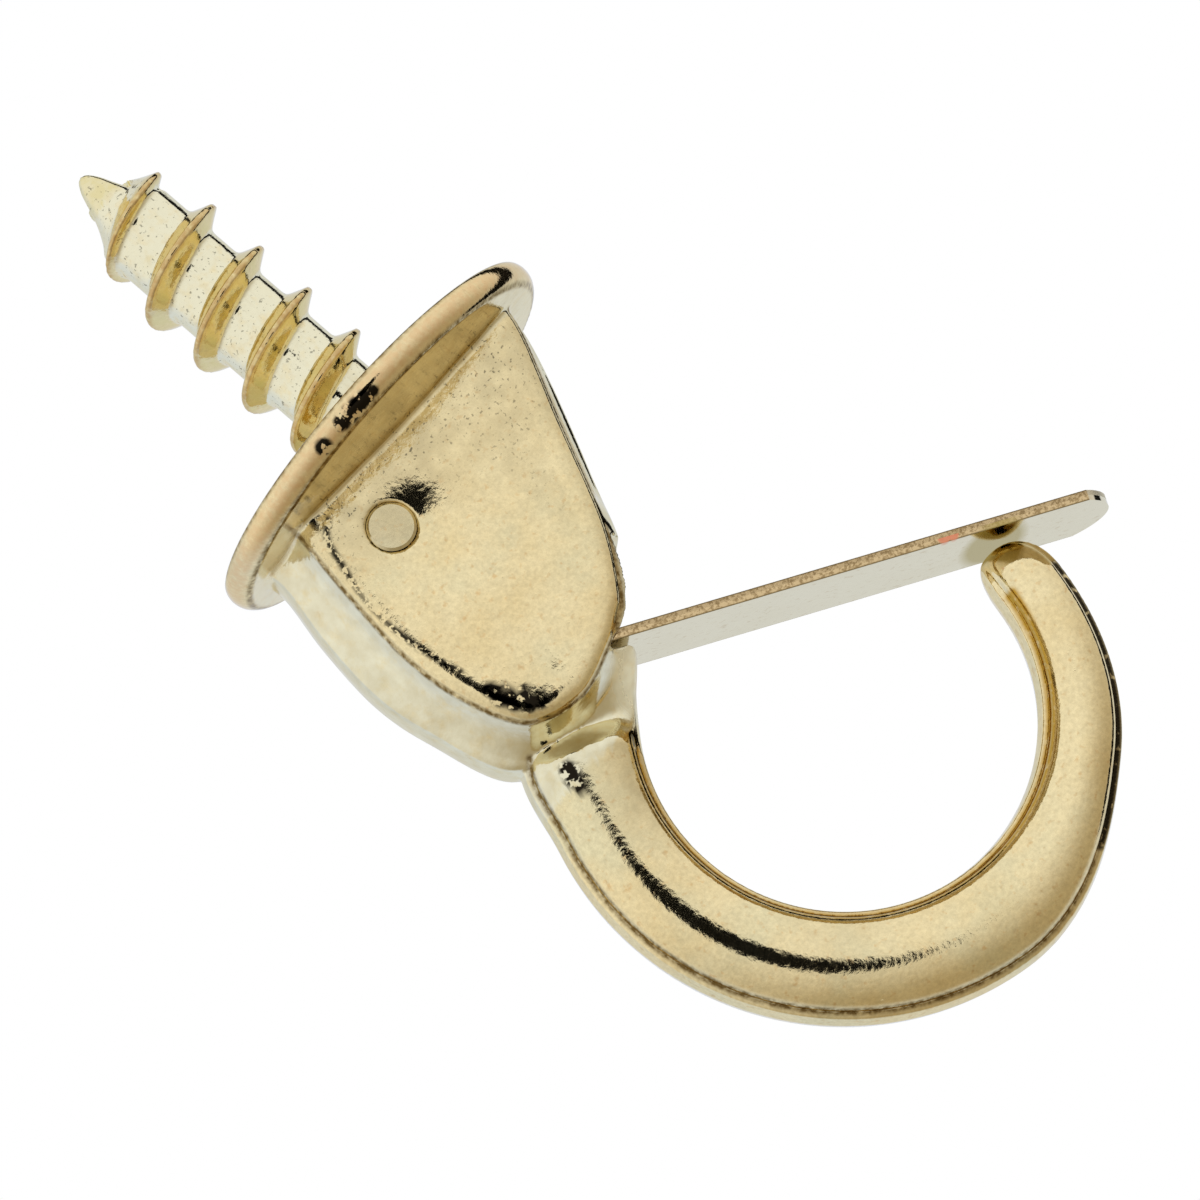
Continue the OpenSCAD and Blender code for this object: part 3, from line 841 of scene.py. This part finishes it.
def makeBar(b, headHeight):
    ringX = b["ringRadius"] * b["ringAside"]
    ringZ = -headHeight - b["ringRadius"] + b["ringLift"]
    land, ledge, rise = b["land"], b["ledge"], b["ledgeLift"]

    def width(a):
        narrow = sum(share * ease(low, high, a) for share, low, high in b["narrowing"])
        extra, *fade = b["neckExtra"]
        return (b["width"] - (b["width"] - b["tipWidth"]) * narrow
                + extra * (1 - ease(*fade, a)))

    def inner(a):
        depth, end, span, power = b["neckFlare"]
        return b["ringRadius"] + depth * (max(0, end - a) / span) ** power

    def at(radius, depth, a):
        return (ringX + radius * math.cos(math.radians(a)), depth,
                ringZ + radius * math.sin(math.radians(a)))

    def section(a, grow):
        hw = (b["ringRadius"] + width(a) - inner(a)) / 2
        crownWide = hw - ledge
        crownHigh = b["half"] - land - rise
        for loss, low, high in b["crownDrops"]:
            crownHigh -= loss * ease(low, high, a)
        begin, over, slant = b["crownStart"]
        half = [(-hw, 0), (-hw + b["draft"], land)]
        for k in range(b["crownSteps"] + 1):
            t = math.pi * k / b["crownSteps"]
            u = -crownWide * math.cos(t)
            share = ease(0, over, a - begin - slant * (u / hw / 2 + 0.5))
            up = crownHigh * max(0, math.sin(t)) ** b["crownRound"] * share
            half.append((u, land + rise + up))
        half += [(hw - b["draft"], land), (hw, 0)]
        half = [(u * grow, v * grow) for u, v in half]
        mid = inner(a) + hw * (1 - b["domeShift"] * (1 - grow))
        loop = half + [(u, -v) for u, v in reversed(half[1:-1])]
        return [at(mid + u, v, a) for u, v in loop]

    domeTurn = math.degrees(b["domeLength"] / (b["ringRadius"] + b["tipWidth"] / 2))
    start, domeFrom = b["start"], b["end"] - domeTurn
    count = int((domeFrom - start) / b["step"])
    rings = [section(start + (domeFrom - start) * i / count, 1) for i in range(count + 1)]
    for i in range(1, b["domeSteps"] + 1):
        t = math.radians(b["domeSweep"] * i / b["domeSteps"])
        rings.append(section(domeFrom + domeTurn * math.sin(t), math.cos(t) ** b["domeRound"]))
    for i in range(b["linePoints"]):
        a = b["linesFrom"] + (domeFrom - b["linesFrom"]) * i / b["linePoints"]
        for stainAndShade, inside, out, up, low, high in b["lines"]:
            foot = inner(a) + ledge if inside else b["ringRadius"] + width(a) - ledge
            if low < a < high:
                shadeAndStains(stainAndShade, at(foot + out, land + up, a))
                shadeAndStains(stainAndShade, at(foot + out, -land - up, a))
    first = sum((Vector(p) for p in rings[0]), Vector()) / len(rings[0])
    last = sum((Vector(p) for p in rings[-1]), Vector()) / len(rings[-1])
    return loft("bar", rings, first, last)


# hollows in the head for the gate's rolled end, the rivet and its heads
pocket = {
    "outline": [(-4.20964, -4.08373), (-1.31499, -12.0935), (5.56807, -16.2293),
                (5.47029, -12.7496), (-3.39422, -4.08986)],
    "width": 5.0,
    "endRadius": 1.35,
    "rivetAt": (-2.94, -3.6249),
    "rivetHole": (0.75, 8),     # radius and length
    "recess": (0.94, 0.28),     # radius and depth round the rivet's heads
}


def makeCutters(p, halfThickness):
    holeRadius, holeLength = p["rivetHole"]
    radius, depth = p["recess"]
    cutters = [prism("pocket", p["outline"], p["width"]),
               prism("pocketEnd", circle(p["rivetAt"], p["endRadius"]), p["width"]),
               prism("rivetHole", circle(p["rivetAt"], holeRadius), holeLength)]
    for side in (-1, 1):
        recess = prism("recess", circle(p["rivetAt"], radius), depth * 2)
        recess.data.transform(Matrix.Translation((0, side * halfThickness, 0)))
        cutters.append(recess)
    return cutters


def cutOut(part, cutters):
    for cutter in cutters:
        cut = part.modifiers.new(cutter.name, "BOOLEAN")
        cut.operation = "DIFFERENCE"
        cut.solver = "EXACT"
        cut.object = cutter
    return applied(part)


def vertexPlaces(mesh):
    place = np.empty(len(mesh.vertices) * 3, np.float32)
    mesh.vertices.foreach_get("co", place)
    return place.reshape(-1, 3)


# dents, dull places and tones of the casting, with its painted dark reflections
wearAndPaintedLight = {
    # shallow dents on the near side: place, reach and depth
    "dents": [((-2.4, -4.22), 1.3, 0.19)],
    "dentsFrom": -2,            # only what lies nearer than this is dented
    # small random ones along the face's lower end: from, to, how many, reach and depth
    "wrinkles": [((-5.3, -9.9), (-4.5, -11.8), 9, 0.28, 0.022),
                 ((-4.5, -11.8), (-3.2, -11.9), 7, 0.28, 0.022)],
    "wrinkleSeed": 4,
    "wrinkleAside": 0.3,
    "wrinkleReach": (0.7, 1.2),     # shares of the reach and the depth that they vary between
    "wrinkleDepth": (-0.6, 1),
    # black blots of painted dark reflection, and dull places: middle and reach
    "darkReflections": [((-5.21, -1.9, -14.25), 0.4), ((-5.3, -1.9, -14.65), 0.45),
              ((-5.34, -1.9, -15.0), 0.35), ((-5.11, -3.02, -10.35), 0.35),
              ((-4.98, -3.02, -10.82), 0.5), ((-4.78, -3.02, -11.27), 0.5),
              ((-4.55, -3.02, -11.69), 0.45), ((-4.18, -3.02, -11.94), 0.4),
              ((-4.26, -3.02, -11.19), 0.25), ((-3.34, -7.49, -0.75), 0.4),
              ((-2.3, -7.87, -0.7), 0.4), ((-1.92, -7.97, -0.72), 0.45),
              ((-1.53, -8.06, -0.74), 0.45), ((-1.13, -8.12, -0.76), 0.4),
              ((-0.76, -8.16, -0.8), 0.3)],
    "dullSpots": [((3.5, -3.1, -1.5), 4.5), ((0, -3.1, -1.5), 4.0), ((-3.5, -3.1, -1.5), 3.6),
                  ((-3.3, -1.9, -16.5), 3.2), ((-2.2, -1.9, -24.5), 2.6)],
    "darkReflectionFade": 4,              # how soon they fade towards their reach, 1 being all the way
    "dullFade": 1.2,
    "lineFade": 1.5,
    # places with a tone of their own
    "coreMargin": 0.1,
    "threadMargin": 0.15,
    "threadFrom": 0.2,
    "pointFrom": 13.1,          # the point takes the thread's tone from this height
    "flankDepth": 2.6,
    "flankHeights": (-14.8, -1.35),
    "flankDull": 0.5,
    "undersideHeights": (-1.32, -1),
    "undersideInset": 0.5,
    "undersidePale": 0.7,
    "undersideSatin": (0.4, -5),            # strength, and up to which X
    "neckSatin": ((0.1, -14.4), 2.5, 2.2, 2.62),    # middle, reach, fade and half depth
    # black specks of painted dark reflection on the face and the core
    "faceSpecks": (0.8, -12, -2.8),           # strength, lowest height, and nearer than this Y
    "coreSpecks": 0.6,
}


def pressDents(mesh, w):
    place = vertexPlaces(mesh)
    dents = list(w["dents"])
    chance = random.Random(w["wrinkleSeed"])
    aside = w["wrinkleAside"]
    for start, end, count, reach, depth in w["wrinkles"]:
        for i in range(count):
            t = (i + chance.random()) / count
            spot = [a + (b - a) * t + chance.uniform(-aside, aside) for a, b in zip(start, end)]
            dents.append((spot, reach * chance.uniform(*w["wrinkleReach"]),
                          depth * chance.uniform(*w["wrinkleDepth"])))
    for (x, z), reach, depth in dents:
        away = ((place[:, 0] - x) ** 2 + (place[:, 2] - z) ** 2) / reach ** 2
        place[:, 1] += np.where(place[:, 1] < w["dentsFrom"], depth * np.exp(-away), 0)
    mesh.vertices.foreach_set("co", place.ravel())


# for each point, 1 on the lines and 0 from the reach on
def nearLines(mesh, lines, reach, fade):
    tree = KDTree(len(lines))
    for i, p in enumerate(lines):
        tree.insert(p, i)
    tree.balance()
    away = np.array([tree.find(p)[2] for p in vertexPlaces(mesh)], np.float32)
    return np.clip(fade * (1 - away / reach), 0, 1)


# for each point, 1 at the middle of a spot and 0 from its reach on
def nearSpots(place, spots, fade):
    near = np.zeros(len(place), np.float32)
    for middle, reach in spots:
        away = np.linalg.norm(place - np.array(middle, np.float32), axis=1)
        near = np.maximum(near, np.clip(fade * (1 - away / reach), 0, 1))
    return near


def markStainsAndShade(mesh, w):
    place = vertexPlaces(mesh)
    x, y, z = place.T
    fromAxis = np.hypot(x, y)
    onCore = (fromAxis < screw["coreRadius"] + w["coreMargin"]) & (z > 0)
    beyondCore = fromAxis > screw["coreRadius"] + w["threadMargin"]
    low, high = w["flankHeights"]
    onFlank = (np.abs(y) < w["flankDepth"]) & (z > low) & (z < high)
    low, high = w["undersideHeights"]
    onUnderside = (fromAxis < flange["radius"] - w["undersideInset"]) & (z > low) & (z < high)
    (neckX, neckZ), reach, fade, depth = w["neckSatin"]
    satin = np.clip(fade * (1 - np.hypot(x - neckX, z - neckZ) / reach), 0, 1)
    satin = satin * (np.abs(y) < depth)
    dull = np.maximum(w["flankDull"] * onFlank, nearSpots(place, w["dullSpots"], w["dullFade"]))
    share, upTo = w["undersideSatin"]
    darkSpecks, lowest, nearer = w["faceSpecks"]
    # painted shade and painted dark reflections along the lines
    stainsAndShade = {name: nearLines(mesh, lines, paintedLineReach[name], w["lineFade"])
              for name, lines in paintedLines.items()}
    stainsAndShade["satin"] = np.maximum(satin, share * onUnderside * (x < upTo))
    stainsAndShade["pale"] = np.maximum.reduce([satin, onCore, onFlank, onUnderside * w["undersidePale"]])
    stainsAndShade["dull"] = dull
    # painted reflection: the thread and the point take an ochre tint
    stainsAndShade["thread"] = (z > w["threadFrom"]) & (beyondCore | (z > w["pointFrom"]))
    # painted dark reflection: black blots
    stainsAndShade["darkReflection"] = nearSpots(place, w["darkReflections"], w["darkReflectionFade"])
    # painted dark reflection: black specks
    stainsAndShade["speckled"] = darkSpecks * dull * (z > lowest) * (y < nearer) + w["coreSpecks"] * onCore
    for name, values in stainsAndShade.items():
        mark = mesh.attributes.new(name, "FLOAT", "POINT")
        mark.data.foreach_set("value", values.astype(np.float32))
    print("tarnish marked:", ", ".join(stainsAndShade))


casting = {
    "skin": 0.09,               # size of the skin's cells
    "smoothing": 2,
    # where head, strip and hook meet: middle, reach, half depth, its soft edge and rounds
    "neck": ((0.1, -14.4), 3.1, 2.6, 0.15, 150),
    "neckLevels": 4,            # steps in which the smoothing fades out
    "triangles": 194000,
    "keepReach": 0.25,          # no triangles are taken this near to a line
}


def smoothOut(obj, rounds, group=""):
    smooth = obj.modifiers.new("smooth", "SMOOTH")
    smooth.vertex_group = group
    smooth.factor = 0.5
    smooth.iterations = rounds


# at the neck the forms run into one another
def blend(obj, c):
    (x, z), reach, depth, edge, rounds = c["neck"]
    place = vertexPlaces(obj.data)
    away = np.hypot(place[:, 0] - x, place[:, 2] - z) / reach
    weight = np.clip(2 * (1 - away), 0, 1) * np.clip((depth - np.abs(place[:, 1])) / edge, 0, 1)
    neck = obj.vertex_groups.new(name="neck")
    levels = c["neckLevels"]
    for level in range(1, levels + 1):
        inside = np.flatnonzero(weight > (level - 1) / levels).tolist()
        neck.add(inside, level / levels, "REPLACE")
    smoothOut(obj, rounds, "neck")
    applied(obj)
    obj.vertex_groups.clear()


# fewer triangles, taken from where no line runs
def thinOut(obj, c):
    triangles = 2 * len(obj.data.polygons)
    if triangles > c["triangles"]:
        lines = sum(paintedLines.values(), [])
        near = nearLines(obj.data, lines, c["keepReach"], wearAndPaintedLight["lineFade"])
        plain = obj.vertex_groups.new(name="plain")
        plain.add(np.flatnonzero(near == 0).tolist(), 1, "REPLACE")
        thin = obj.modifiers.new("thin", "DECIMATE")
        thin.ratio = c["triangles"] / triangles
        thin.vertex_group = "plain"
        thin.vertex_group_factor = 4
        applied(obj)
        obj.vertex_groups.clear()
    print("casting:", triangles, "triangles, then", len(obj.data.loop_triangles))


def makeCasting(c):
    cutters = makeCutters(pocket, head["halfThickness"])
    parts = [makeCore(screw), makeThread(screw, castBrass), makeFlange(flange),
             cutOut(makeHead(head), cutters), cutOut(makeBar(bar, head["height"]), cutters[:2])]
    print("forms made:", ", ".join(part.name for part in parts))
    bm = bmesh.new()
    for part in parts:
        bm.from_mesh(part.data)
    skin = meshObject("hook_casting", bm)
    for spare in parts + cutters:
        bpy.data.objects.remove(spare)
    remesh = skin.modifiers.new("skin", "REMESH")
    remesh.mode = "VOXEL"
    remesh.voxel_size = c["skin"]
    smoothOut(skin, c["smoothing"])
    applied(skin)
    blend(skin, c)
    pressDents(skin.data, wearAndPaintedLight)
    thinOut(skin, c)
    markStainsAndShade(skin.data, wearAndPaintedLight)
    return skin


hook = makeCasting(casting)
hook.data.transform(Matrix.Scale(0.001, 4))     # to metres
hook.data.shade_smooth()
hook.data.materials.clear()
hook.data.materials.append(castBrass)
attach(hook, "hook")
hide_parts("hook_body")

scene.view_settings.view_transform = "Standard"
